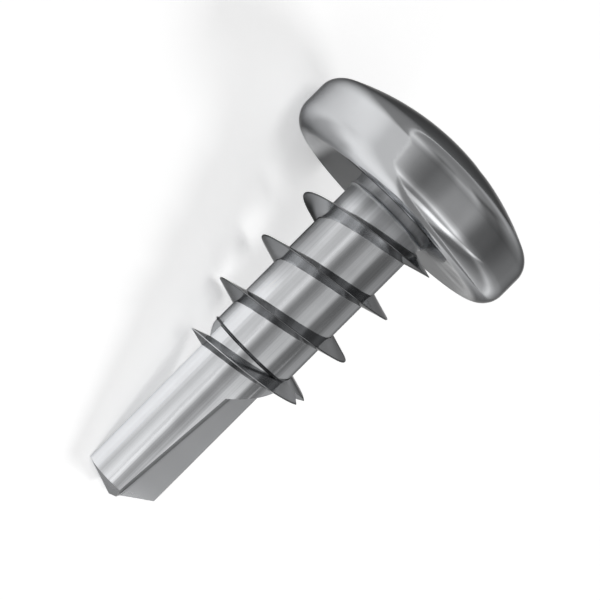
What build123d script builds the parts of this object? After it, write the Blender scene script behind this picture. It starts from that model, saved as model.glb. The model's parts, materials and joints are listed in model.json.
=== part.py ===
from build123d import *
import math
import os

# Lengths are in mm and angles in degrees. The screw is drawn on its own axis: z 0 is the bearing
# face under the head, the head is above it and the point below. Azimuths turn about that axis from
# +x towards +y. At the end the screw is laid on the floor as it comes to rest.

# Head: a low pan with a domed top and rounded rims
HEAD_DIAMETER = 7.8
HEAD_HEIGHT = 2.71
DOME_RADIUS = 7.5
TOP_RIM_RADIUS = 0.6
BOTTOM_RIM_RADIUS = 0.65

# Cross recess for a number 2 driver
RECESS_SPAN = 4.4
RECESS_DEPTH = 2.2
WING_DEPTH = 1.75
WING_WIDTH = 0.82
WING_DRAFT = 5.0
WING_TIP_SLOPE = 26.5
CORE_DIAMETER = 2.3
CORE_SLOPE = 12.0
RECESS_FLOOR_DIAMETER = 0.9
WING_AZIMUTH = 34.6

# Shank and drill point: one cylinder, with a forging ring round it where the drill begins
SHANK_DIAMETER = 2.68
SHANK_LENGTH = 11.2
UNDER_HEAD_RADIUS = 0.12
RING_POSITION = 5.4
RING_SHOULDER = 0.04
RING_TAPER = 0.16
RING_BULGE = 0.06

# Thread: right-handed, one start, 15 turns to the inch
PITCH = 25.4 / 15
THREAD_DIAMETER = 4.22
CREST_WIDTH = 0.04
FLANK_ANGLE = 14.5
CREST_DEPTH_AT_ZERO = 5.443
THREAD_TURNS_UP = 3
START_DIAMETER = 3.91
START_BLEND = 118.0
START_LIFT = 0.057
FADE_ANGLE = 80.0
NOTCH_AZIMUTH = -8.0
NOTCH_RADIUS = 1.7
NOTCH_HALF_ANGLE = 60.0
NOTCH_TOP_DEPTH = 5.385

# Drill point: two straight flutes that leave two lobes and a web
POINT_ANGLE = 134.0
RELIEF_ANGLE = 2.7
RAKE_AZIMUTH = 34.6
WALL_AZIMUTH = -4.8
WEB_HALF_AT_POINT = 0.21
WEB_TAPER = 4.2
RUN_OUT_DEPTH = 6.35
RUN_OUT_AZIMUTH = 42.4
RUN_OUT_SLOPE = 38.0
FLUTE_CORNER_RADIUS = 0.08

HEAD_RADIUS = HEAD_DIAMETER / 2
SHANK_RADIUS = SHANK_DIAMETER / 2
THREAD_RADIUS = THREAD_DIAMETER / 2
# The thread is rooted this far inside the shank, so that it and the shank are one piece
ROOT_DEPTH = 0.2
# Reach of a cutting tool past whatever it cuts
CLEAR = 1.0
# The ridge is made from stretches no longer than this, because longer ones don't join the shank
THREAD_STRETCH = 90.0


def radial(azimuth, radius=1.0, z=0.0):
    """Gives the point at an azimuth and a radius from the axis."""
    a = math.radians(azimuth)
    return Vector(radius * math.cos(a), radius * math.sin(a), z)


def half_space(origin, normal):
    """Gives a large block on the side of a plane that its normal points to."""
    size = 4 * SHANK_LENGTH
    place = Plane(origin=origin, z_dir=normal)
    return place * Box(size, size, size, align=(Align.CENTER, Align.CENTER, Align.MIN))


def blank():
    """Turns the forged blank: domed head, shank and ring, without the flutes, thread or recess."""
    dome_centre = HEAD_HEIGHT - DOME_RADIUS
    rim_centre_radius = HEAD_RADIUS - TOP_RIM_RADIUS
    inner = DOME_RADIUS - TOP_RIM_RADIUS
    rim_centre_z = dome_centre + math.sqrt(inner**2 - rim_centre_radius**2)
    lean = math.atan2(rim_centre_z - dome_centre, rim_centre_radius)

    def rim(angle):
        return (
            rim_centre_radius + TOP_RIM_RADIUS * math.cos(angle),
            rim_centre_z + TOP_RIM_RADIUS * math.sin(angle),
        )

    def dome(angle):
        return (DOME_RADIUS * math.cos(angle), dome_centre + DOME_RADIUS * math.sin(angle))

    quarter = math.sqrt(0.5)
    low_rim_radius = HEAD_RADIUS - BOTTOM_RIM_RADIUS
    throat = SHANK_RADIUS + UNDER_HEAD_RADIUS
    ring_edge = -RING_POSITION - RING_SHOULDER
    edges = [
        Line((0, -SHANK_LENGTH), (0, HEAD_HEIGHT)),
        ThreePointArc((0, HEAD_HEIGHT), dome((lean + math.pi / 2) / 2), dome(lean)),
        ThreePointArc(rim(lean), rim(lean / 2), rim(0)),
        Line(rim(0), (HEAD_RADIUS, BOTTOM_RIM_RADIUS)),
        ThreePointArc(
            (HEAD_RADIUS, BOTTOM_RIM_RADIUS),
            (
                low_rim_radius + BOTTOM_RIM_RADIUS * quarter,
                BOTTOM_RIM_RADIUS * (1 - quarter),
            ),
            (low_rim_radius, 0),
        ),
        Line((low_rim_radius, 0), (throat, 0)),
        ThreePointArc(
            (throat, 0),
            (throat - UNDER_HEAD_RADIUS * quarter, -UNDER_HEAD_RADIUS * (1 - quarter)),
            (SHANK_RADIUS, -UNDER_HEAD_RADIUS),
        ),
        Line((SHANK_RADIUS, -UNDER_HEAD_RADIUS), (SHANK_RADIUS, -RING_POSITION)),
        Line((SHANK_RADIUS, -RING_POSITION), (SHANK_RADIUS + RING_BULGE, ring_edge)),
        Line((SHANK_RADIUS + RING_BULGE, ring_edge), (SHANK_RADIUS, ring_edge - RING_TAPER)),
        Line((SHANK_RADIUS, ring_edge - RING_TAPER), (SHANK_RADIUS, -SHANK_LENGTH)),
        Line((SHANK_RADIUS, -SHANK_LENGTH), (0, -SHANK_LENGTH)),
    ]
    profile = make_face([e.edge() for e in edges])
    return revolve(Plane.XZ * profile, Axis.Z)


def web_half(z):
    """Gives half the web's thickness, which grows from the point up the drill."""
    return WEB_HALF_AT_POINT + (z + SHANK_LENGTH) * math.tan(math.radians(WEB_TAPER))


def flute():
    """Makes the cutter for one flute, out of a rake face through the axis, a wall and a run-out."""
    lean = math.radians(WEB_TAPER)
    wall = radial(WALL_AZIMUTH, math.cos(lean), -math.sin(lean))
    foot = radial(WALL_AZIMUTH, WEB_HALF_AT_POINT, -SHANK_LENGTH)
    rake = radial(RAKE_AZIMUTH + 90)
    slope = math.radians(RUN_OUT_SLOPE)
    run_out = radial(RUN_OUT_AZIMUTH, -math.sin(slope), math.cos(slope))
    block = Pos(0, 0, -SHANK_LENGTH - CLEAR) * Box(
        4 * SHANK_DIAMETER, 4 * SHANK_DIAMETER, SHANK_LENGTH, align=(Align.CENTER,) * 2 + (Align.MIN,)
    )
    cutter = (block & half_space(foot, wall)) - half_space((0, 0, 0), rake)
    inner = cutter.edges().filter_by(
        lambda e: abs(e.center().dot(rake)) < 1e-6 and abs((e.center() - foot).dot(wall)) < 1e-6
    )
    return fillet(inner, FLUTE_CORNER_RADIUS) - half_space((0, 0, -RUN_OUT_DEPTH), run_out)


def point_axis():
    """Gives the straight line along the cutting lip, about which the point's cone is tipped."""
    half = math.radians(POINT_ANGLE / 2)
    lip = radial(RAKE_AZIMUTH, math.sin(half), math.cos(half))
    return Axis((0, 0, -SHANK_LENGTH), lip)


def point_cutter():
    """Makes the cutter that relieves one lobe to a cone, a little deeper behind the lip."""
    height = 2 * CLEAR
    radius = height * math.tan(math.radians(POINT_ANGLE / 2))
    cone = Cone(0.0, radius, height, align=(Align.CENTER, Align.CENTER, Align.MIN))
    cone = Pos(0, 0, -SHANK_LENGTH) * cone
    cone = cone.rotate(point_axis(), RELIEF_ANGLE)
    slab = Pos(0, 0, -SHANK_LENGTH - CLEAR) * Cylinder(
        SHANK_DIAMETER, CLEAR + height / 2, align=(Align.CENTER, Align.CENTER, Align.MIN)
    )
    lobe_middle = (RAKE_AZIMUTH + WALL_AZIMUTH + 180) / 2
    return (slab & half_space((0, 0, 0), radial(lobe_middle))) - cone


def smooth(t):
    """Eases a value from 0 to 1."""
    t = min(max(t, 0.0), 1.0)
    return t * t * (3 - 2 * t)


def crest_radius(azimuth):
    """Gives the crest's radius, lower where the thread starts and gone where it fades out."""
    start = RAKE_AZIMUTH - 180
    low = START_DIAMETER / 2
    rise = low + (THREAD_RADIUS - low) * smooth((azimuth - start) / START_BLEND)
    sunk = SHANK_RADIUS - ROOT_DEPTH / 2
    fade = smooth((azimuth - 360 * THREAD_TURNS_UP) / FADE_ANGLE)
    return rise + (sunk - THREAD_RADIUS) * fade


def ridge_height(azimuth):
    """Gives the height of the ridge's middle, which starts a little above its own helix."""
    lead_in = 1 - smooth((azimuth - RAKE_AZIMUTH + 180) / START_BLEND)
    return PITCH * azimuth / 360 - CREST_DEPTH_AT_ZERO + START_LIFT * lead_in


def ridge_point(line, azimuth):
    """Gives the point at one azimuth on one of the four lines that run along the ridge."""
    foot = SHANK_RADIUS - ROOT_DEPTH
    crest = crest_radius(azimuth)
    half = CREST_WIDTH / 2
    wide = half + (crest - foot) * math.tan(math.radians(FLANK_ANGLE))
    radius, shift = {
        "foot low": (foot, -wide),
        "crest low": (crest, -half),
        "crest high": (crest, half),
        "foot high": (foot, wide),
    }[line]
    return radial(azimuth, radius, ridge_height(azimuth) + shift)


def ridge_edge(line, begin, end):
    """Makes one stretch of a line along the ridge, smooth where the next stretch takes over."""
    count = 9
    step = 0.01
    points = [ridge_point(line, begin + (end - begin) * i / count) for i in range(count + 1)]
    tangents = [
        (ridge_point(line, a + step) - ridge_point(line, a - step)).normalized()
        for a in (begin, end)
    ]
    return Edge.make_spline(points, tangents=tangents)


def thread():
    """Makes the whole ridge between the rake face it starts at and its fade-out under the head."""
    start = RAKE_AZIMUTH - 180
    end = 360 * THREAD_TURNS_UP + FADE_ANGLE
    count = math.ceil((end - start) / THREAD_STRETCH)
    lines = ["foot low", "crest low", "crest high", "foot high"]
    faces = []
    for i in range(count):
        begin = start + (end - start) * i / count
        finish = start + (end - start) * (i + 1) / count
        edges = [ridge_edge(line, begin, finish) for line in lines]
        faces += [Face.make_surface_from_curves(edges[k - 1], edges[k]) for k in range(4)]
    for azimuth in (start, end):
        corners = [ridge_point(line, azimuth) for line in lines]
        faces.append(Face(Wire.make_polygon(corners, close=True)))
    return Solid(Shell(faces)) - notch()


def notch():
    """Makes the V-shaped bite that the forging dies leave in the thread's first crest."""
    reach = THREAD_RADIUS + CLEAR
    side = (reach - NOTCH_RADIUS) * math.tan(math.radians(NOTCH_HALF_ANGLE))
    v = make_face(
        Polyline((NOTCH_RADIUS, 0), (reach, side), (reach, -side), (NOTCH_RADIUS, 0)).edges()
    )
    low = -CREST_DEPTH_AT_ZERO - PITCH / 2
    bite = extrude(v, amount=-NOTCH_TOP_DEPTH - low)
    return Rot(0, 0, NOTCH_AZIMUTH) * Pos(0, 0, low) * bite


def recess():
    """Makes the cutter for the cross recess: two crossed wings, a core and a cone at the floor."""
    top = HEAD_HEIGHT + CLEAR
    rim_z = HEAD_HEIGHT - DOME_RADIUS + math.sqrt(DOME_RADIUS**2 - (RECESS_SPAN / 2) ** 2)
    floor_z = HEAD_HEIGHT - WING_DEPTH
    tip = math.tan(math.radians(WING_TIP_SLOPE))
    draft = math.tan(math.radians(WING_DRAFT))

    def wing_section(z):
        length = RECESS_SPAN + 2 * (z - rim_z) * tip
        width = WING_WIDTH + 2 * (z - rim_z) * draft
        return Plane.XY.offset(z) * Rectangle(length, width)

    wing = loft([wing_section(floor_z), wing_section(top)])
    core_growth = (top - floor_z) * math.tan(math.radians(CORE_SLOPE))
    core_low = CORE_DIAMETER / 2 - (rim_z - floor_z) * math.tan(math.radians(CORE_SLOPE))
    core = Pos(0, 0, floor_z) * Cone(
        core_low, core_low + core_growth, top - floor_z, align=(Align.CENTER,) * 2 + (Align.MIN,)
    )
    drop = RECESS_DEPTH - WING_DEPTH
    base = Pos(0, 0, floor_z - drop) * Cone(
        RECESS_FLOOR_DIAMETER / 2, core_low, drop, align=(Align.CENTER,) * 2 + (Align.MIN,)
    )
    cross = wing + Rot(0, 0, 90) * wing + core + base
    return Rot(0, 0, WING_AZIMUTH) * cross


def corner(azimuth):
    """Gives the end of a lobe's edge on the point: where that azimuth meets the tipped cone."""
    axis = Vector(0, 0, 1).rotate(Axis((0, 0, 0), point_axis().direction), RELIEF_ANGLE)
    limit = math.cos(math.radians(POINT_ANGLE / 2))
    low, high = 0.0, SHANK_DIAMETER
    for _ in range(60):
        rise = (low + high) / 2
        p = radial(azimuth, SHANK_RADIUS, rise)
        if p.dot(axis) < limit * p.length:
            low = rise
        else:
            high = rise
    return radial(azimuth, SHANK_RADIUS, high - SHANK_LENGTH)


def resting_plane():
    """Finds the floor: the plane on both edges of one flute that also touches the head's rim."""
    lip = corner(RAKE_AZIMUTH)
    # One lobe's lip and the other lobe's trailing edge bound the flute that faces the floor
    first = radial(RAKE_AZIMUTH + 180, SHANK_RADIUS, lip.Z)
    second = lip
    for _ in range(8):
        turn = math.degrees(math.acos(web_half(second.Z) / SHANK_RADIUS))
        second = corner(WALL_AZIMUTH + 180 - turn)
    between = (second - first).normalized()
    outward = ((first + second) / 2 - Vector(0, 0, (first.Z + second.Z) / 2)).normalized()
    outward = (outward - between * outward.dot(between)).normalized()
    lengthwise = between.cross(outward)
    if lengthwise.Z > 0:
        lengthwise = -lengthwise

    def normal(tilt):
        return outward * math.cos(tilt) + lengthwise * math.sin(tilt)

    def gap(tilt):
        n = normal(tilt)
        flat = math.hypot(n.X, n.Y)
        rim = (HEAD_RADIUS - BOTTOM_RIM_RADIUS) * flat + BOTTOM_RIM_RADIUS * (1 + n.Z)
        return rim - n.dot(first)

    low, high = 0.0, math.radians(60)
    for _ in range(60):
        middle = (low + high) / 2
        if gap(middle) > 0:
            low = middle
        else:
            high = middle
    up = -normal(low)
    along = (Vector(0, 0, 1) - up * up.Z).normalized()
    return Plane(origin=first, x_dir=along, z_dir=up)


def screw():
    """Builds the screw in one piece and lays it on the floor with its head towards +x."""
    body = blank()
    for turn in (0, 180):
        body -= Rot(0, 0, turn) * flute()
        body -= Rot(0, 0, turn) * point_cutter()
    body += thread()
    body -= recess()
    body = resting_plane().location.inverse() * body
    box = body.bounding_box()
    return Pos(-box.center().X, -box.center().Y, 0) * body


os.makedirs("parts", exist_ok=True)
export_step(screw().solid(), "parts/screw.step")
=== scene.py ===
"""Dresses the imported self-drilling screw: a fine mesh of it, its plated finish, and a small studio.

The screw is modelled upright on its own axis in millimetres, with the bearing face at height 0,
the head above and the point below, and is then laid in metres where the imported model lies.
Azimuths are in degrees about that axis, from +x towards +y.
"""

import json
import logging
import math
from collections.abc import Iterable
from dataclasses import dataclass, field
from enum import Enum
from functools import partial, reduce

import bmesh
import bpy
from mathutils import Euler, Matrix, Vector

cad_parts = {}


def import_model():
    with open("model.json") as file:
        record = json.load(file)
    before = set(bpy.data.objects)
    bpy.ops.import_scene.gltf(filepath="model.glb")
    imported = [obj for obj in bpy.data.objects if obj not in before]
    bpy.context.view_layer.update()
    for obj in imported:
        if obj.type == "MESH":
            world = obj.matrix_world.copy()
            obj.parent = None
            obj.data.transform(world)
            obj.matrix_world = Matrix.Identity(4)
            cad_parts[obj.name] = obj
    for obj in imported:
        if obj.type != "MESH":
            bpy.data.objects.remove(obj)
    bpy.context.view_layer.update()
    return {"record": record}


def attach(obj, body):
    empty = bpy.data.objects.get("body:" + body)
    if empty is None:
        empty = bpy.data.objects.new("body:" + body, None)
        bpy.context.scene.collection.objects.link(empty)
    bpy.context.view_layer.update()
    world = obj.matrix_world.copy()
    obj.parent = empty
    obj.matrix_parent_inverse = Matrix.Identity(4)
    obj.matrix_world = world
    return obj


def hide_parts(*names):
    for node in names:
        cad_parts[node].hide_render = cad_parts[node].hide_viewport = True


LOG = logging.getLogger("screw")
MILLIMETRE = 0.001
DEGREE = math.radians(1.0)
SIDES = (0.0, 180.0)
TOUCHING = 1e-4
ON_PLANE = 1e-6

Span = tuple[float, float]
Socket = bpy.types.NodeSocket
Source = Socket | float | tuple[float, ...] | Vector | Euler

# Azimuths and tones of bands along the wire: partly drawing streaks, partly painted reflection of the floor.
DRAWN_STREAKS_AND_PAINTED_REFLECTIONS = [
    (-180, 0.96), (-165, 0.86), (-150, 0.84), (-141, 1.2), (-133, 1.34), (-126, 1.34), (-121, 0.95),
    (-117, 0.74), (-112, 0.78), (-108, 1.0), (-104, 1.2), (-99, 1.08), (-94, 1.0), (-85, 0.98),
    (-70, 1.03), (-50, 0.92), (-35, 1.05), (-20, 0.85), (-8, 1.12), (5, 0.9), (18, 1.2), (27, 1.1),
    (36, 0.8), (50, 0.95), (62, 1.18), (80, 0.88), (92, 1.08), (110, 0.8), (124, 1.14), (140, 0.9),
    (156, 1.16), (180, 0.96),
]

# The room's light round the screw's axis, at angles from straight up.
AROUND = [
    (-180, 1.0), (-100, 1.0), (-88, 0.82), (-80, 0.56), (-72, 0.33), (-64.6, 0.25), (-57, 0.34),
    (-49, 0.39), (-41, 0.56), (-25, 0.59), (-16, 0.68), (-12, 0.56), (-7, 0.37), (-2, 0.23), (4, 0.2),
    (10, 0.2), (21, 0.16), (32, 0.22), (43, 0.31), (58, 0.45), (76, 0.8), (95, 1.0), (180, 1.0),
]

# The room's light along the screw's axis, from -1 past the point to 1 past the head.
LENGTHWISE = [
    (-1.0, 0.6), (-0.9, 0.8), (-0.5, 0.8), (-0.42, 0.9), (-0.35, 1.35), (-0.3, 1.8), (-0.24, 1.9),
    (-0.187, 1.5), (-0.05, 1.0), (0.03, 0.9), (0.115, 0.76), (0.163, 0.58), (0.3, 0.5), (0.5, 0.62),
    (0.7, 0.85), (0.8, 0.6), (0.9, 0.33), (1.0, 0.25),
]


class Cut(Enum):
    """How one closed mesh is combined with another."""

    JOIN = "UNION"
    REMOVE = "DIFFERENCE"


class Step(Enum):
    """How a value goes from its low end to its high one."""

    EVEN = "LINEAR"
    SOFT = "SMOOTHSTEP"


def turned(azimuth: float, radius: float = 1.0, height: float = 0.0) -> Vector:
    """Gives the point at an azimuth in degrees, a distance from the axis and a height."""
    angle = math.radians(azimuth)
    return Vector((radius * math.cos(angle), radius * math.sin(angle), height))


def square_to(axis: Vector) -> tuple[Vector, Vector]:
    """Gives the most upward of the directions square to an axis, and the one square to both."""
    rise = (Vector((0, 0, 1)) - axis * axis.z).normalized()
    return rise, axis.cross(rise)


def grey(tone: float) -> tuple[float, float, float, float]:
    """Gives a grey as a colour."""
    return (tone, tone, tone, 1.0)


def eased(share: float) -> float:
    """Gives a share from 0 to 1, eased at both ends."""
    share = min(max(share, 0.0), 1.0)
    return share * share * (3 - 2 * share)


def as_object(name: str, form: bmesh.types.BMesh) -> bpy.types.Object:
    """Makes an object of a finished bmesh and frees it.

    Args:
        name: The object's name.
        form: The bmesh.

    Returns:
        The new object, linked to the scene.
    """
    mesh = bpy.data.meshes.new(name)
    form.to_mesh(mesh)
    form.free()
    piece = bpy.data.objects.new(name, mesh)
    bpy.context.scene.collection.objects.link(piece)
    return piece


def flat(form: bmesh.types.BMesh, corners: list[tuple[float, float, float]]) -> bmesh.types.BMFace:
    """Makes one flat face in a bmesh from its corners in order."""
    verts = [bmesh.ops.create_vert(form, co=corner)["vert"][0] for corner in corners]
    return bmesh.ops.contextual_create(form, geom=verts)["faces"][0]


def swing(form: bmesh.types.BMesh, verts: Iterable[bmesh.types.BMVert], azimuth: float) -> None:
    """Turns some vertices of a bmesh about the screw's axis, by degrees."""
    turn = Matrix.Rotation(math.radians(azimuth), 3, "Z")
    bmesh.ops.rotate(form, verts=verts, cent=(0, 0, 0), matrix=turn)


def combine(piece: bpy.types.Object, tool: bpy.types.Object, cut: Cut) -> None:
    """Joins a closed tool to a closed piece, or removes it, and deletes the tool.

    Args:
        piece: The object that is changed.
        tool: The object that it is combined with.
        cut: Whether the tool is joined or removed.
    """
    step = piece.modifiers.new(cut.name, "BOOLEAN")
    step.operation = cut.value
    step.solver = "EXACT"
    step.object = tool
    graph = bpy.context.evaluated_depsgraph_get()
    made = bpy.data.meshes.new_from_object(piece.evaluated_get(graph))
    piece.modifiers.clear()
    worn = piece.data
    piece.data = made
    bpy.data.meshes.remove(worn)
    spent = tool.data
    bpy.data.objects.remove(tool, do_unlink=True)
    bpy.data.meshes.remove(spent)


@dataclass
class Profile:
    """A chain of edges in the xz plane, drawn point by point, that is later spun into a blank."""

    form: bmesh.types.BMesh
    tip: bmesh.types.BMVert

    def line(self, x: float, z: float, steps: int = 1) -> None:
        """Draws a straight run.

        Args:
            x: Distance of its end from the axis.
            z: Height of its end.
            steps: Number of edges in it.
        """
        stride = (Vector((x, 0.0, z)) - self.tip.co) / steps
        for _ in range(steps):
            grown = bmesh.ops.extrude_vert_indiv(self.form, verts=[self.tip])
            self.tip = grown["verts"][0]
            bmesh.ops.translate(self.form, verts=[self.tip], vec=stride)

    def arc(self, x: float, z: float, angle: float, steps: int) -> None:
        """Draws an arc.

        Args:
            x: Distance of its centre from the axis.
            z: Height of its centre.
            angle: Degrees that it turns, from up towards outwards.
            steps: Number of edges in it.
        """
        swept = bmesh.ops.spin(
            self.form,
            geom=[self.tip],
            cent=(x, 0.0, z),
            axis=(0.0, 1.0, 0.0),
            angle=math.radians(angle),
            steps=steps,
        )
        last = [v for v in swept["geom_last"] if isinstance(v, bmesh.types.BMVert)]
        self.tip = last[0]


@dataclass
class Head:
    """The pan head: a dome, two rounded rims and a flat bearing face."""

    diameter: float = 7.8
    height: float = 2.71
    dome_radius: float = 7.5
    top_rim: float = 0.6
    bottom_rim: float = 0.65

    def draw(self, profile: Profile, throat: float) -> None:
        """Draws the head's outline from its crown to where the radius under it begins.

        Args:
            profile: The outline, begun at the crown.
            throat: Radius at which the flat underside ends.
        """
        radius = self.diameter / 2
        centre = self.height - self.dome_radius
        rim_x = radius - self.top_rim
        rim_z = centre + math.sqrt((self.dome_radius - self.top_rim) ** 2 - rim_x**2)
        lean = math.degrees(math.atan2(rim_z - centre, rim_x))
        profile.arc(0.0, centre, 90 - lean, steps=40)
        profile.arc(rim_x, rim_z, lean, steps=20)
        profile.line(radius, self.bottom_rim, steps=6)
        profile.arc(radius - self.bottom_rim, self.bottom_rim, 90, steps=28)
        profile.line(throat, 0.0, steps=10)


@dataclass
class Recess:
    """The cross recess for a number 2 driver."""

    span: float = 4.4
    depth: float = 2.2
    wing_depth: float = 1.75
    wing_width: float = 0.82
    wing_draft: float = 5.0
    tip_slope: float = 26.5
    core_diameter: float = 2.3
    core_slope: float = 12.0
    floor_diameter: float = 0.9
    azimuth: float = 34.6
    clearance: float = 0.8
    overlap: float = 0.002
    facets: int = 96

    def wing(self, head: Head, top: float, azimuth: float) -> bpy.types.Object:
        """Makes the cutter for one pair of wings.

        Args:
            head: The head that the recess is in.
            top: Height of the cutter's upper end.
            azimuth: Direction the wings point in.

        Returns:
            The cutter.
        """
        low = head.height - self.wing_depth
        form = bmesh.new()
        bmesh.ops.create_cube(form, size=1.0)
        edge = self.mouth(head)
        for vert in form.verts:
            height = top if vert.co.z > 0 else low
            length = self.span + 2 * (height - edge) * math.tan(math.radians(self.tip_slope))
            width = self.wing_width + 2 * (height - edge) * math.tan(math.radians(self.wing_draft))
            x, y = math.copysign(length / 2, vert.co.x), math.copysign(width / 2, vert.co.y)
            vert.co = Vector((x, y, height))
        swing(form, form.verts, azimuth)
        return as_object("wing", form)

    def mouth(self, head: Head) -> float:
        """Gives the height at which the wings' ends meet the dome."""
        inner = head.dome_radius**2 - (self.span / 2) ** 2
        return head.height - head.dome_radius + math.sqrt(inner)

    def cone(self, low: float, low_radius: float, high: float, high_radius: float) -> bpy.types.Object:
        """Makes a closed cone about the axis.

        Args:
            low: Height of its lower end.
            low_radius: Radius there.
            high: Height of its upper end.
            high_radius: Radius there.

        Returns:
            The cone.
        """
        form = bmesh.new()
        bmesh.ops.create_cone(
            form,
            cap_ends=True,
            segments=self.facets,
            radius1=low_radius,
            radius2=high_radius,
            depth=high - low,
            matrix=Matrix.Translation((0, 0, (low + high) / 2)),
        )
        return as_object("cone", form)

    def cutters(self, head: Head) -> list[bpy.types.Object]:
        """Makes the cutters that together sink the recess.

        Args:
            head: The head that the recess is in.

        Returns:
            The cutters.
        """
        top = head.height + self.clearance
        floor = head.height - self.wing_depth
        slope = math.tan(math.radians(self.core_slope))
        low = self.core_diameter / 2 - (self.mouth(head) - floor) * slope
        deep = floor - (self.depth - self.wing_depth)
        return [
            self.wing(head, top, self.azimuth),
            self.wing(head, top, self.azimuth + 90),
            self.cone(floor, low, top, low + (top - floor) * slope),
            self.cone(deep, self.floor_diameter / 2, floor + self.overlap, low),
        ]


@dataclass
class Shank:
    """The straight body below the head, down to the drill's point, with its forging ring."""

    diameter: float = 2.68
    length: float = 11.2
    throat_radius: float = 0.12
    ring_position: float = 5.4
    ring_shoulder: float = 0.04
    ring_taper: float = 0.05
    ring_bulge: float = 0.06
    spacing: float = 0.14
    turns: int = 256

    @property
    def radius(self) -> float:
        """The shank's radius."""
        return self.diameter / 2

    def run(self, profile: Profile, height: float) -> None:
        """Draws the shank straight down to a height, in short edges."""
        steps = max(1, round((profile.tip.co.z - height) / self.spacing))
        profile.line(self.radius, height, steps)

    def blank(self, head: Head) -> bpy.types.Object:
        """Spins the forged blank: the head, the shank and the ring.

        Args:
            head: The head that it carries.

        Returns:
            The closed blank, without the recess, the flutes or the thread.
        """
        form = bmesh.new()
        crown = bmesh.ops.create_vert(form, co=(0.0, 0.0, head.height))["vert"][0]
        profile = Profile(form, crown)
        throat = self.radius + self.throat_radius
        head.draw(profile, throat)
        profile.arc(throat, -self.throat_radius, -90, steps=8)
        self.run(profile, -self.ring_position)
        widest = -self.ring_position - self.ring_shoulder
        profile.line(self.radius + self.ring_bulge, widest, steps=2)
        profile.line(self.radius, widest - self.ring_taper, steps=4)
        self.run(profile, -self.length)
        profile.line(0.0, -self.length, steps=6)
        bmesh.ops.spin(
            form,
            geom=list(form.verts) + list(form.edges),
            cent=(0, 0, 0),
            axis=(0, 0, 1),
            angle=math.tau,
            steps=self.turns,
            use_merge=True,
        )
        bmesh.ops.remove_doubles(form, verts=form.verts, dist=TOUCHING)
        bmesh.ops.recalc_face_normals(form, faces=form.faces)
        return as_object("blank", form)


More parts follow.
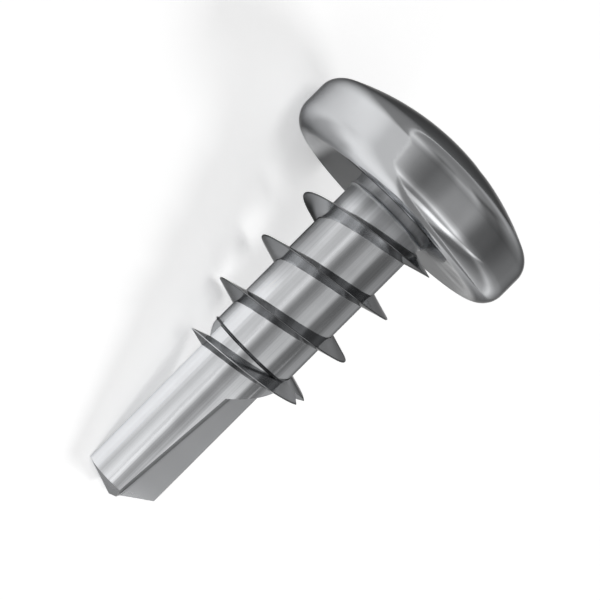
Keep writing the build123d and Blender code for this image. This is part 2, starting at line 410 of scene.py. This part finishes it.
@dataclass
class Thread:
    """The rolled thread: one coarse right-handed ridge with a sharp crest."""

    pitch: float = 25.4 / 15
    diameter: float = 4.22
    crest_width: float = 0.02
    flank_angle: float = 14.5
    depth_at_zero: float = 5.443
    turns_up: int = 3
    start_diameter: float = 3.91
    start_blend: float = 118.0
    start_lift: float = 0.057
    fade_angle: float = 80.0
    root_depth: float = 0.2
    step: float = 1.5
    flank_cuts: int = 5
    notch_azimuth: float = -8.0
    notch_radius: float = 1.7
    notch_half_angle: float = 60.0
    notch_depth: float = 5.385
    notch_reach: float = 0.6

    def crest(self, shank: Shank, azimuth: float, start: float) -> float:
        """Gives the crest's radius.

        Args:
            shank: The shank under the thread.
            azimuth: Where along the thread, in degrees.
            start: Where the thread starts.

        Returns:
            The radius, lower at the start and under the shank's surface at the end.
        """
        low, full = self.start_diameter / 2, self.diameter / 2
        rise = low + (full - low) * eased((azimuth - start) / self.start_blend)
        sunk = shank.radius - self.root_depth / 2
        return rise + (sunk - full) * eased((azimuth - 360 * self.turns_up) / self.fade_angle)

    def height(self, azimuth: float, start: float) -> float:
        """Gives the height of the ridge's middle at an azimuth."""
        lead_in = 1 - eased((azimuth - start) / self.start_blend)
        return self.pitch * azimuth / 360 - self.depth_at_zero + self.start_lift * lead_in

    def ridge(self, shank: Shank, start: float) -> bpy.types.Object:
        """Sweeps the ridge's section up its helix, a short step at a time.

        Args:
            shank: The shank that carries it.
            start: Azimuth of the cutting face at which it starts.

        Returns:
            The closed ridge, with the bite in its first crest.
        """
        end = 360.0 * self.turns_up + self.fade_angle
        count = math.ceil((end - start) / self.step)
        foot = shank.radius - self.root_depth
        half = self.crest_width / 2
        slope = math.tan(math.radians(self.flank_angle))
        crest = self.crest(shank, start, start)
        wide = half + (crest - foot) * slope
        form = bmesh.new()
        first = flat(form, [(foot, 0, -wide), (crest, 0, -half), (crest, 0, half), (foot, 0, wide)])
        flanks = [e for e in first.edges if e.verts[0].co.x != e.verts[1].co.x]
        bmesh.ops.bisect_edges(form, edges=flanks, cuts=self.flank_cuts)
        swing(form, form.verts, start)
        bmesh.ops.translate(form, verts=form.verts, vec=(0, 0, self.height(start, start)))
        loop = list(first.edges)
        azimuth = start
        for number in range(1, count + 1):
            before = azimuth
            azimuth = start + (end - start) * number / count
            grown = bmesh.ops.extrude_edge_only(form, edges=loop)["geom"]
            loop = [g for g in grown if isinstance(g, bmesh.types.BMEdge)]
            verts = [g for g in grown if isinstance(g, bmesh.types.BMVert)]
            swing(form, verts, azimuth - before)
            was, now = self.height(before, start), self.height(azimuth, start)
            depth_was, depth_now = (self.crest(shank, a, start) - foot for a in (before, azimuth))
            growth = depth_now / depth_was
            for vert in verts:
                radius = vert.co.to_2d().length
                wanted = foot + (radius - foot) * growth
                offset = vert.co.z - was
                side = math.copysign(half + (abs(offset) - half) * growth, offset)
                vert.co = Vector((vert.co.x * wanted / radius, vert.co.y * wanted / radius, now + side))
        bmesh.ops.contextual_create(form, geom=loop)
        bmesh.ops.recalc_face_normals(form, faces=form.faces)
        piece = as_object("ridge", form)
        combine(piece, self.bite(), Cut.REMOVE)
        return piece

    def bite(self) -> bpy.types.Object:
        """Makes the wedge that bites into the first crest.

        Returns:
            The closed wedge.
        """
        reach = self.diameter / 2 + self.notch_reach
        side = (reach - self.notch_radius) * math.tan(math.radians(self.notch_half_angle))
        low = -self.depth_at_zero - self.pitch / 2
        form = bmesh.new()
        face = flat(form, [(self.notch_radius, 0, low), (reach, -side, low), (reach, side, low)])
        risen = bmesh.ops.extrude_face_region(form, geom=[face])["geom"]
        top = [g for g in risen if isinstance(g, bmesh.types.BMVert)]
        bmesh.ops.translate(form, verts=top, vec=(0, 0, -self.notch_depth - low))
        swing(form, form.verts, self.notch_azimuth)
        bmesh.ops.recalc_face_normals(form, faces=form.faces)
        return as_object("bite", form)


@dataclass
class DrillPoint:
    """The forged drill point: two straight flutes and a relieved point."""

    angle: float = 134.0
    relief: float = 2.7
    rake_azimuth: float = 34.6
    wall_azimuth: float = -4.8
    web_half: float = 0.21
    web_taper: float = 4.2
    run_out_depth: float = 6.35
    run_out_azimuth: float = 42.4
    run_out_slope: float = 38.0
    corner: float = 0.08
    corner_steps: int = 5
    cutter_depth: float = 1.2
    cutter_lap: float = 1.0
    cutter_steps: int = 128

    def flute(self, shank: Shank, side: float) -> bpy.types.Object:
        """Makes the cutter for one flute.

        Args:
            shank: The shank that it cuts.
            side: 0 or 180, the side of the shank it is on.

        Returns:
            The cutter, bounded by the wall, the cutting face and the run-out.
        """
        reach = 2 * shank.diameter
        form = bmesh.new()
        bmesh.ops.create_cube(form, size=3 * reach)
        bmesh.ops.translate(form, verts=form.verts, vec=(0, 0, -shank.length))
        lean, slope = math.radians(self.web_taper), math.radians(self.run_out_slope)
        wall = -turned(self.wall_azimuth, math.cos(lean), -math.sin(lean))
        across = turned(self.rake_azimuth + 90)
        self.slice(form, turned(self.wall_azimuth, self.web_half, -shank.length), wall)
        self.slice(form, Vector((0, 0, 0)), across)
        on_face = [v for v in form.verts if abs(v.co.dot(across)) < TOUCHING]
        inner = {v for v in on_face if v.co.to_2d().length < shank.diameter}
        self.soften(form, [e for e in form.edges if inner.issuperset(e.verts)])
        run_out = turned(self.run_out_azimuth, -math.sin(slope), math.cos(slope))
        self.slice(form, Vector((0, 0, -self.run_out_depth)), run_out)
        swing(form, form.verts, side)
        return as_object("flute", form)

    def slice(self, form: bmesh.types.BMesh, place: Vector, away: Vector) -> None:
        """Slices a closed form with a plane, keeps what lies behind it and closes it again.

        Args:
            form: The bmesh.
            place: A point of the plane.
            away: The direction that the plane faces, in which the form is cleared.
        """
        bmesh.ops.bisect_plane(
            form,
            geom=list(form.verts) + list(form.edges) + list(form.faces),
            dist=ON_PLANE,
            plane_co=place,
            plane_no=away,
            clear_outer=True,
        )
        bmesh.ops.contextual_create(form, geom=[e for e in form.edges if e.is_boundary])
        bmesh.ops.recalc_face_normals(form, faces=form.faces)

    def soften(self, form: bmesh.types.BMesh, edges: list[bmesh.types.BMEdge]) -> None:
        """Rounds the corner between the wall and the cutting face.

        Args:
            form: The cutter.
            edges: The corner's edges.
        """
        bmesh.ops.bevel(
            form,
            geom=edges,
            offset=self.corner,
            offset_type="OFFSET",
            affect="EDGES",
            segments=self.corner_steps,
            profile=0.5,
            material=-1,
        )

    def relief_cutter(self, shank: Shank, side: float) -> bpy.types.Object:
        """Makes the cutter that shapes one lobe's share of the point.

        Args:
            shank: The shank that it cuts.
            side: 0 or 180, the lobe it cuts.

        Returns:
            The cutter, a half ring under a cone that is tipped about the cutting lip.
        """
        half = math.radians(self.angle / 2)
        reach = shank.diameter
        form = bmesh.new()
        rise = reach / math.tan(half)
        low = -self.cutter_depth
        face = flat(form, [(0, 0, 0), (reach, 0, rise), (reach, 0, low), (0, 0, low)])
        middle = (self.rake_azimuth + self.wall_azimuth + 180) / 2
        swing(form, form.verts, middle - 90 - self.cutter_lap)
        bmesh.ops.spin(
            form,
            geom=[face] + list(face.edges) + list(face.verts),
            cent=(0, 0, 0),
            axis=(0, 0, 1),
            angle=math.radians(180 + 2 * self.cutter_lap),
            steps=self.cutter_steps,
        )
        bmesh.ops.remove_doubles(form, verts=form.verts, dist=TOUCHING)
        bmesh.ops.recalc_face_normals(form, faces=form.faces)
        lip = turned(self.rake_azimuth, math.sin(half), math.cos(half))
        tip = Matrix.Rotation(math.radians(self.relief), 3, lip)
        bmesh.ops.rotate(form, verts=form.verts, cent=(0, 0, 0), matrix=tip)
        swing(form, form.verts, side)
        bmesh.ops.translate(form, verts=form.verts, vec=(0, 0, -shank.length))
        return as_object("relief", form)


@dataclass
class Resting:
    """Where the screw lies: its axis and bearing face from the record, and its turn about the axis."""

    up_azimuth: float = -25.026

    def matrix(self, record: dict) -> Matrix:
        """Gives the move from the screw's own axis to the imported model's frame.

        Args:
            record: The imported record.

        Returns:
            The matrix, which keeps lengths as they are.
        """
        mounts = {m["name"]: m for m in record["mounts"]}
        seat = Vector(mounts["head_seat"]["pos_m"])
        axis = Vector(mounts["driver_recess"]["axis"]).normalized()
        rise, side = square_to(axis)
        up = math.radians(self.up_azimuth)
        x_axis = math.cos(up) * rise - math.sin(up) * side
        y_axis = math.sin(up) * rise + math.cos(up) * side
        turn = Matrix((x_axis, y_axis, axis)).transposed().to_4x4()
        return Matrix.Translation(seat) @ turn


@dataclass
class Nodes:
    """The shader nodes of one material or world, made and linked a call at a time."""

    tree: bpy.types.NodeTree

    def add(self, kind: str, *values: Source, **options: object) -> bpy.types.Node:
        """Adds a node, sets its options and feeds its first inputs.

        Args:
            kind: The node's type, without the words it begins with.
            values: What the inputs are fed from or set to, in order.
            options: The node's own settings.

        Returns:
            The node.
        """
        node = self.tree.nodes.new(f"ShaderNode{kind}")
        for name, value in options.items():
            setattr(node, name, value)
        for socket, value in zip(node.inputs, values):
            self.feed(socket, value)
        return node

    def feed(self, socket: Socket, value: Source) -> None:
        """Feeds one input.

        Args:
            socket: The input.
            value: The output that it is linked to, or the plain value that it is set to.
        """
        if isinstance(value, Socket):
            self.tree.links.new(value, socket)
        else:
            socket.default_value = value

    def math(self, how: str, *values: Source) -> Socket:
        """Combines numbers by the named operation."""
        return self.add("Math", *values, operation=how).outputs[0]

    def vector(self, how: str, *values: Source) -> bpy.types.NodeOutputs:
        """Combines vectors by the named operation, and gives a vector and a number."""
        return self.add("VectorMath", *values, operation=how).outputs

    def product(self, *values: Source) -> Socket:
        """Multiplies numbers."""
        return reduce(partial(self.math, "MULTIPLY"), values)

    def less(self, value: Socket) -> Socket:
        """Gives 1 less a number."""
        return self.math("SUBTRACT", 1.0, value)

    def apart(self, vector: Socket) -> bpy.types.NodeOutputs:
        """Gives a vector's X, Y and Z."""
        return self.add("SeparateXYZ", vector).outputs

    def mapped(
        self, value: Socket, given: Span, wanted: Span = (0.0, 1.0), step: Step = Step.EVEN
    ) -> Socket:
        """Maps a number from a given span to the wanted one and holds it past both ends."""
        return self.add("MapRange", value, *given, *wanted, interpolation_type=step.value).outputs["Result"]

    def rising(self, value: Socket, span: Span, step: Step = Step.EVEN, unit: float = MILLIMETRE) -> Socket:
        """Gives 0 up to the span's first place and 1 from its second on, both in units."""
        low, high = span
        return self.mapped(value, (low * unit, high * unit), step=step)

    def between(
        self, value: Socket, rise: Span, fall: Span, step: Step = Step.SOFT, unit: float = MILLIMETRE
    ) -> Socket:
        """Gives 1 between a rise and a later fall, both in units, and 0 outside them."""
        risen, fallen = self.rising(value, rise, step, unit), self.rising(value, fall, step, unit)
        return self.math("SUBTRACT", risen, fallen)

    def mixed(self, how: str, share: Source, one: Source, other: Source) -> Socket:
        """Mixes a share of another colour into one, in the named way."""
        return self.add("MixRGB", share, one, other, blend_type=how).outputs["Color"]

    def scaled(self, vector: Socket, factor: Source) -> Socket:
        """Scales a vector or a colour.

        Args:
            vector: The vector or colour.
            factor: The number that it is scaled by.

        Returns:
            The result.
        """
        node = self.add("VectorMath", vector, operation="SCALE")
        self.feed(node.inputs["Scale"], factor)
        return node.outputs["Vector"]

    def noise(self, place: Socket, scale: float, detail: float) -> Socket:
        """Gives a cloudy value from 0 to 1.

        Args:
            place: The place.
            scale: How many clouds there are to a unit of length.
            detail: How fine the smallest of them are.

        Returns:
            The value.
        """
        node = self.add("TexNoise", place)
        self.feed(node.inputs["Scale"], scale)
        self.feed(node.inputs["Detail"], detail)
        return node.outputs["Fac"]

    def bands(self, value: Socket, stops: list[Span], unit: float = 1.0) -> Socket:
        """Gives the tone at each place along a row of bands.

        Args:
            value: The place.
            stops: The bands' places, in units and in rising order, and the tone of each.
            unit: The unit's size.

        Returns:
            The tone.
        """
        low, high = stops[0][0], stops[-1][0]
        ramp = self.add("ValToRGB")
        points = ramp.color_ramp.elements
        while len(points) < len(stops):
            points.new(0.5)
        for point, (place, tone) in zip(points, stops):
            point.position = (place - low) / (high - low)
            point.color = grey(tone)
        self.feed(ramp.inputs["Fac"], self.mapped(value, (low * unit, high * unit)))
        return ramp.outputs["Color"]

    def bump(self, height: Socket, strength: Source, distance: float, normal: Socket) -> Socket:
        """Raises a pattern on a surface.

        Args:
            height: The pattern, from 0 to 1.
            strength: How much of it shows.
            distance: Its full height in millimetres.
            normal: The direction of the surface under it.

        Returns:
            The direction of the raised surface.
        """
        node = self.add("Bump", strength, distance * MILLIMETRE)
        self.feed(node.inputs["Height"], height)
        self.feed(node.inputs["Normal"], normal)
        return node.outputs["Normal"]


class Spot:
    """A point of the surface in the screw's own frame, upright on its axis, as sockets in metres."""

    def __init__(self, nodes: Nodes, lie: Matrix) -> None:
        """Works out the point's place, its height, its distance from the axis and its direction.

        Args:
            nodes: The material's nodes.
            lie: How the screw lies.
        """
        back = lie.inverted()
        lying = nodes.add("TexCoord").outputs["Object"]
        self.place = nodes.add("Mapping", lying, back.translation, back.to_euler()).outputs["Vector"]
        self.height = nodes.apart(self.place)["Z"]
        across = nodes.vector("MULTIPLY", self.place, (1.0, 1.0, 0.0))["Vector"]
        self.reach = nodes.vector("LENGTH", across)["Value"]
        self.around = nodes.vector("NORMALIZE", across)["Vector"]

    def drawn(self, nodes: Nodes, turns: float, lengths: float) -> Socket:
        """Gives the place for a pattern of lines along the axis.

        Args:
            nodes: The material's nodes.
            turns: The pattern's scale round the axis.
            lengths: Its scale along the axis.

        Returns:
            The place.
        """
        round_it = nodes.scaled(self.around, turns)
        along_it = nodes.vector("MULTIPLY", self.place, (0.0, 0.0, lengths))["Vector"]
        return nodes.vector("ADD", round_it, along_it)["Vector"]


@dataclass(frozen=True)
class BrightZinc:
    """Bright zinc plating on steel: a near mirror with faint drawing lines, mottling, painted reflection
    bands and painted shade.

    Places are in millimetres in the screw's own frame: heights, or distances from the axis.
    """

    name: str = "bright_zinc"
    colour: tuple[float, float, float] = (0.69, 0.70, 0.715)
    colour_spread: float = 0.05
    cloud_scale: float = 1300.0
    shank_reach: Span = (1.5, 1.38)
    under_head: Span = (0.0, -0.1)
    cut_reach: Span = (1.335, 1.31)
    cut_heights: Span = (-11.6, -10.2)
    cut_roughness: float = 0.38
    roughness: float = 0.13
    mottle: float = 0.04
    neck_length: float = 1.1
    neck_roughness: float = 0.6
    neck_shade: float = 0.6
    neck_shade_tone: float = 0.6
    streak_scale: Span = (14.0, 60.0)
    streak_noise: Span = (0.3, 0.7)
    streaks: float = 0.1
    ring_rise: Span = (-5.5, -5.47)
    ring_fall: Span = (-5.41, -5.38)
    ring_shade_tone: float = 0.3
    crest_reach: Span = (2.04, 2.1)
    crest_shade_tone: float = 0.4
    glancing: float = 0.2
    seat_glancing: float = 0.85
    seat_reach: Span = (3.5, 3.2)
    seat_rise: Span = (-0.2, -0.1)
    seat_fall: Span = (0.05, 0.1)
    edge_radius: float = 0.012
    wave_scale: float = 700.0
    wave_height: float = 0.02
    line_scale: Span = (26.0, 90.0)
    line_height: float = 0.004
    lines: float = 0.3
    lines_elsewhere: float = 0.3

    def material(self, lie: Matrix) -> bpy.types.Material:
        """Builds the material.

        Args:
            lie: How the screw lies, which the drawing lines follow.

        Returns:
            The material.
        """
        made = bpy.data.materials.new(self.name)
        made.use_nodes = True
        nodes = Nodes(made.node_tree)
        spot = Spot(nodes, lie)
        cloud = nodes.noise(spot.place, self.cloud_scale, detail=5.0)
        below = nodes.rising(spot.height, self.under_head)
        shank = nodes.product(nodes.rising(spot.reach, self.shank_reach), below)
        cut = nodes.product(shank, nodes.rising(spot.reach, self.cut_reach))
        shader = made.node_tree.nodes["Principled BSDF"]
        shader.inputs["Metallic"].default_value = 1.0
        nodes.feed(shader.inputs["Base Color"], self.tone(nodes, spot, cloud, shank, cut))
        nodes.feed(shader.inputs["Roughness"], self.dullness(nodes, spot, cloud, shank, cut))
        nodes.feed(shader.inputs["Specular Tint"], self.clearness(nodes, spot))
        nodes.feed(shader.inputs["Normal"], self.relief(nodes, spot, shank))
        return made

    def tone(self, nodes: Nodes, spot: Spot, cloud: Socket, shank: Socket, cut: Socket) -> Socket:
        """Gives the colour: drawing streaks mixed with painted reflection, and painted shade at the ring,
        crest and neck.

        Args:
            nodes: The material's nodes.
            spot: The point of the surface.
            cloud: The mottling.
            shank: 1 on the shank and the drill point.
            cut: 1 on the faces that are cut into them.

        Returns:
            The colour.
        """
        deep, pale = (
            (*(part * factor for part in self.colour), 1.0)
            for factor in (1 - self.colour_spread, 1 + self.colour_spread)
        )
        plain = nodes.mixed("MIX", cloud, deep, pale)
        direction = nodes.apart(spot.around)
        # Painted reflection: the bands lighten and darken the shank round its axis as its mirrored floor
        # would, mixed with drawing streaks.
        bands = nodes.bands(nodes.math("ARCTAN2", direction["Y"], direction["X"]), DRAWN_STREAKS_AND_PAINTED_REFLECTIONS, DEGREE)
        grain = nodes.noise(spot.drawn(nodes, *self.streak_scale), scale=1.0, detail=4.0)
        fine = nodes.mapped(grain, self.streak_noise, (1.0 - self.streaks, 1.0 + self.streaks))
        drawn = nodes.mixed("MULTIPLY", nodes.math("SUBTRACT", shank, cut), plain, nodes.scaled(bands, fine))
        # Painted shade: a dark line along the ledge at the ring.
        ring = nodes.product(nodes.between(spot.height, self.ring_rise, self.ring_fall, Step.EVEN), shank)
        below = nodes.rising(spot.height, self.under_head)
        # Painted shade: the thread's crest is darkened to dim its highlight.
        crest = nodes.product(nodes.rising(spot.reach, self.crest_reach), below)
        # Painted shade: the shank is darkened just under the head.
        neck = nodes.product(shank, nodes.rising(spot.height, (-self.neck_shade, 0.0)))
        marked = nodes.mixed("MULTIPLY", ring, drawn, grey(self.ring_shade_tone))
        marked = nodes.mixed("MULTIPLY", crest, marked, grey(self.crest_shade_tone))
        return nodes.mixed("MULTIPLY", neck, marked, grey(self.neck_shade_tone))

    def dullness(self, nodes: Nodes, spot: Spot, cloud: Socket, shank: Socket, cut: Socket) -> Socket:
        """Gives the roughness, higher by the head and on the cut faces near the point.

        Args:
            nodes: The material's nodes.
            spot: The point of the surface.
            cloud: The mottling.
            shank: 1 on the shank and the drill point.
            cut: 1 on the faces that are cut into them.

        Returns:
            The roughness.
        """
        plain = nodes.mapped(cloud, (0.0, 1.0), (self.roughness - self.mottle, self.roughness + self.mottle))
        neck = nodes.product(shank, nodes.rising(spot.height, (-self.neck_length, 0.0)))
        low = nodes.product(cut, nodes.rising(spot.height, self.cut_heights))
        duller = nodes.math(
            "MAXIMUM",
            nodes.product(neck, self.neck_roughness - self.roughness),
            nodes.product(low, self.cut_roughness - self.roughness),
        )
        return nodes.math("ADD", duller, plain)

    def clearness(self, nodes: Nodes, spot: Spot) -> Socket:
        """Gives how clearly the plating mirrors at a glancing angle, best on the bearing face.

        Args:
            nodes: The material's nodes.
            spot: The point of the surface.

        Returns:
            The tint of glancing reflections.
        """
        level = nodes.between(spot.height, self.seat_rise, self.seat_fall, Step.EVEN)
        seat = nodes.product(level, nodes.rising(spot.reach, self.seat_reach))
        return nodes.math("MULTIPLY_ADD", seat, self.seat_glancing - self.glancing, self.glancing)

    def relief(self, nodes: Nodes, spot: Spot, shank: Socket) -> Socket:
        """Gives the surface's direction, with softened edges, faint waves and drawing lines.

        Args:
            nodes: The material's nodes.
            spot: The point of the surface.
            shank: 1 on the shank and the drill point.

        Returns:
            The direction.
        """
        soft = nodes.add("Bevel", samples=6)
        soft.inputs["Radius"].default_value = self.edge_radius * MILLIMETRE
        waves = nodes.noise(spot.place, self.wave_scale, detail=1.0)
        wavy = nodes.bump(waves, 1.0, self.wave_height, soft.outputs["Normal"])
        lines = nodes.noise(spot.drawn(nodes, *self.line_scale), scale=1.0, detail=3.0)
        elsewhere = self.lines * self.lines_elsewhere
        strength = nodes.math("MULTIPLY_ADD", shank, self.lines - elsewhere, elsewhere)
        return nodes.bump(lines, strength, self.line_height, wavy)


@dataclass
class Screw:
    """The whole screw, forged, threaded and plated in one piece."""

    head: Head = field(default_factory=Head)
    recess: Recess = field(default_factory=Recess)
    shank: Shank = field(default_factory=Shank)
    thread: Thread = field(default_factory=Thread)
    point: DrillPoint = field(default_factory=DrillPoint)
    resting: Resting = field(default_factory=Resting)
    finish: BrightZinc = BrightZinc()
    crisp_angle: float = 24.0

    def build(self, record: dict) -> bpy.types.Object:
        """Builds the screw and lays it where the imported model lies.

        Args:
            record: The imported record.

        Returns:
            The finished piece.
        """
        piece = self.shank.blank(self.head)
        for side in SIDES:
            combine(piece, self.point.flute(self.shank, side), Cut.REMOVE)
        combine(piece, self.thread.ridge(self.shank, self.point.rake_azimuth - 180), Cut.JOIN)
        for side in SIDES:
            combine(piece, self.point.relief_cutter(self.shank, side), Cut.REMOVE)
        for cutter in self.recess.cutters(self.head):
            combine(piece, cutter, Cut.REMOVE)
        piece.name = "plated_screw"
        lie = self.resting.matrix(record)
        piece.data.transform(lie @ Matrix.Scale(MILLIMETRE, 4))
        self.shade(piece)
        piece.data.materials.clear()
        piece.data.materials.append(self.finish.material(lie))
        LOG.info("%s: %d faces", piece.name, len(piece.data.polygons))
        return piece

    def shade(self, piece: bpy.types.Object) -> None:
        """Shades the piece smooth, with its forged edges crisp."""
        piece.data.polygons.foreach_set("use_smooth", [True] * len(piece.data.polygons))
        piece.data.set_sharp_from_angle(angle=math.radians(self.crisp_angle))


@dataclass(frozen=True)
class Patch:
    """A soft-edged patch of the floor, by where it begins and ends along x and y, in millimetres."""

    x_rise: Span
    x_fall: Span
    y_rise: Span
    y_fall: Span

    def cover(self, nodes: Nodes, place: bpy.types.NodeOutputs) -> Socket:
        """Gives 1 on the patch and 0 around it."""
        along = nodes.between(place["X"], self.x_rise, self.x_fall)
        return nodes.product(along, nodes.between(place["Y"], self.y_rise, self.y_fall))


@dataclass(frozen=True)
class Lamp:
    """A broad soft lamp, far off: where it hangs, in degrees, and its light on a surface facing it."""

    name: str
    azimuth: float
    elevation: float
    light: float = 0.85
    softness: float = 18.0

    def hang(self) -> None:
        """Hangs the lamp, which the metal doesn't mirror."""
        data = bpy.data.lights.new(self.name, "SUN")
        data.energy = self.light
        data.angle = math.radians(self.softness)
        lamp = bpy.data.objects.new(self.name, data)
        lift = math.radians(self.elevation)
        towards = turned(self.azimuth, math.cos(lift), math.sin(lift))
        lamp.rotation_euler = towards.to_track_quat("Z", "Y").to_euler()
        lamp.visible_glossy = False
        bpy.context.scene.collection.objects.link(lamp)


@dataclass
class Studio:
    """The floor, the lights and the camera.

    The metal mirrors the floor and the room. So the floor is darker to it past the screw's ends
    and behind its head, and the room has bands of light. The camera's place is in pixels of the
    photograph, across and along the screw's axis.
    """

    lamps: tuple[Lamp, ...] = (Lamp("front", 82.0, 48.0), Lamp("back", -98.0, 50.0))
    floor_size: float = 4.0
    floor_colour: float = 0.86
    floor_glow: float = 0.36
    dark_colour: float = 0.33
    lit_ends: Span = (-7.0, 4.0)
    lit_slant: float = 0.5
    lit_fade: float = 7.0
    lit_width: Span = (5.0, 18.0)
    behind_head: Patch = Patch((2.0, 2.6), (4.9, 5.5), (-24.0, -17.0), (-1.6, -0.6))
    below_head: Patch = Patch((0.6, 2.2), (4.2, 5.2), (-2.0, 0.0), (3.0, 6.0))
    room_light: float = 1.0
    room_foot: Span = (0.0, 0.05)
    head_end: Span = (0.8, 0.95)
    strip_azimuth: float = -65.0
    strip_rise: Span = (-64.0, -54.0)
    strip_fall: Span = (-45.0, -37.0)
    strip_light: float = 2.2
    frame_pixels: int = 600
    focal_pixels: float = 1000.0
    pixels_per_mm: float = 35.0
    sensor: float = 36.0
    eye_height: float = -120.0
    eye_shift: float = -1.52

    def floor(self) -> None:
        """Makes the pale floor."""
        form = bmesh.new()
        bmesh.ops.create_grid(form, x_segments=1, y_segments=1, size=self.floor_size / 2)
        plane = as_object("floor", form)
        made = bpy.data.materials.new("pale_floor")
        made.use_nodes = True
        made.node_tree.nodes.clear()
        nodes = Nodes(made.node_tree)
        place = nodes.apart(nodes.add("TexCoord").outputs["Object"])
        ray = nodes.add("LightPath").outputs
        dark = nodes.math("MAXIMUM", self.past_ends(nodes, place), self.behind_head.cover(nodes, place))
        aside = nodes.rising(nodes.math("ABSOLUTE", place["Y"]), self.lit_width, Step.SOFT)
        # Painted shade: under the head, the floor that the metal mirrors has no glow.
        below = self.below_head.cover(nodes, place)
        lit = nodes.product(nodes.less(dark), nodes.less(aside), nodes.less(below))
        unseen = nodes.product(dark, nodes.less(ray["Is Camera Ray"]))
        shade = nodes.mixed("MIX", unseen, grey(self.floor_colour), grey(self.dark_colour))
        paint = nodes.add("BsdfDiffuse", shade)
        mirrored = nodes.math("MAXIMUM", ray["Is Glossy Ray"], ray["Is Transmission Ray"])
        seen = nodes.math("ADD", nodes.product(mirrored, lit), ray["Is Camera Ray"])
        glow = nodes.add("Emission")
        nodes.feed(glow.inputs["Strength"], nodes.product(seen, self.floor_glow))
        both = nodes.add("AddShader", paint.outputs[0], glow.outputs[0])
        nodes.add("OutputMaterial", both.outputs[0])
        plane.data.materials.append(made)

    def past_ends(self, nodes: Nodes, place: bpy.types.NodeOutputs) -> Socket:
        """Gives 0 beside the screw and 1 past its two ends, less so further aside.

        Args:
            nodes: The floor's nodes.
            place: The place on the floor.

        Returns:
            The number.
        """
        low, high = (limit * MILLIMETRE for limit in self.lit_ends)
        past_head = nodes.math("SUBTRACT", place["X"], high)
        past = nodes.math("MAXIMUM", past_head, nodes.math("SUBTRACT", low, place["X"]))
        aside = nodes.product(nodes.math("ABSOLUTE", place["Y"]), self.lit_slant)
        return nodes.rising(nodes.math("SUBTRACT", past, aside), (0.0, self.lit_fade), Step.SOFT)

    def room(self, lie: Matrix) -> None:
        """Paints the room that the metal mirrors: bands of soft light round the screw's axis.

        Args:
            lie: How the screw lies.
        """
        world = bpy.data.worlds.new("room")
        bpy.context.scene.world = world
        world.use_nodes = True
        nodes = Nodes(world.node_tree)
        looked = nodes.add("TexCoord").outputs["Generated"]
        axis = lie.to_3x3().col[2].normalized()
        rise, side = square_to(axis)
        facing = turned(self.strip_azimuth)
        lengthwise, upwards, sideways, level, towards = (
            nodes.vector("DOT_PRODUCT", looked, direction)["Value"]
            for direction in (axis, rise, side, Vector((0, 0, 1)), facing.x * rise + facing.y * side)
        )
        around = nodes.bands(nodes.math("ARCTAN2", sideways, upwards), AROUND, DEGREE)
        past_head = nodes.mapped(lengthwise, self.head_end, step=Step.SOFT)
        around = nodes.mixed("MIX", past_head, around, grey(1.0))
        light = nodes.mixed("MULTIPLY", 1.0, around, nodes.bands(lengthwise, LENGTHWISE))
        slant = nodes.math("ARCTAN2", lengthwise, towards)
        strip = nodes.between(slant, self.strip_rise, self.strip_fall, unit=DEGREE)
        light = nodes.scaled(light, nodes.math("MULTIPLY_ADD", strip, self.strip_light, 1.0))
        wall = nodes.mixed("MIX", nodes.mapped(level, self.room_foot), grey(1.0), light)
        background = world.node_tree.nodes["Background"]
        nodes.feed(background.inputs["Color"], wall)
        background.inputs["Strength"].default_value = self.room_light

    def camera(self, lie: Matrix) -> None:
        """Sets the camera square to the screw's axis and rolled as the photograph is.

        Args:
            lie: How the screw lies.
        """
        data = bpy.data.cameras.new("camera")
        data.sensor_width = self.sensor
        data.lens = self.sensor * self.focal_pixels / self.frame_pixels
        data.clip_start = MILLIMETRE
        half = math.sqrt(0.5)
        right, up, back = Vector((half, 0, half)), Vector((-half, 0, half)), Vector((0, -1, 0))
        turn = Matrix((right, up, back)).transposed().to_4x4()
        place = Vector((self.eye_shift, -self.focal_pixels, self.eye_height)) / self.pixels_per_mm
        eye = bpy.data.objects.new("camera", data)
        eye.matrix_world = lie @ Matrix.Translation(place * MILLIMETRE) @ turn
        bpy.context.scene.collection.objects.link(eye)
        bpy.context.scene.camera = eye

    def build(self, lie: Matrix) -> None:
        """Builds the studio round the screw.

        Args:
            lie: How the screw lies.
        """
        bpy.context.scene.view_settings.view_transform = "Standard"
        self.floor()
        self.room(lie)
        self.camera(lie)
        for lamp in self.lamps:
            lamp.hang()


def main() -> None:
    """Loads the frame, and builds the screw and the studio."""
    logging.basicConfig(level=logging.INFO, format="%(name)s: %(message)s")
    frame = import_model()
    screw = Screw()
    piece = screw.build(frame["record"])
    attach(piece, "root")
    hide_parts("screw")
    Studio().build(screw.resting.matrix(frame["record"]))


if __name__ == "__main__":
    main()
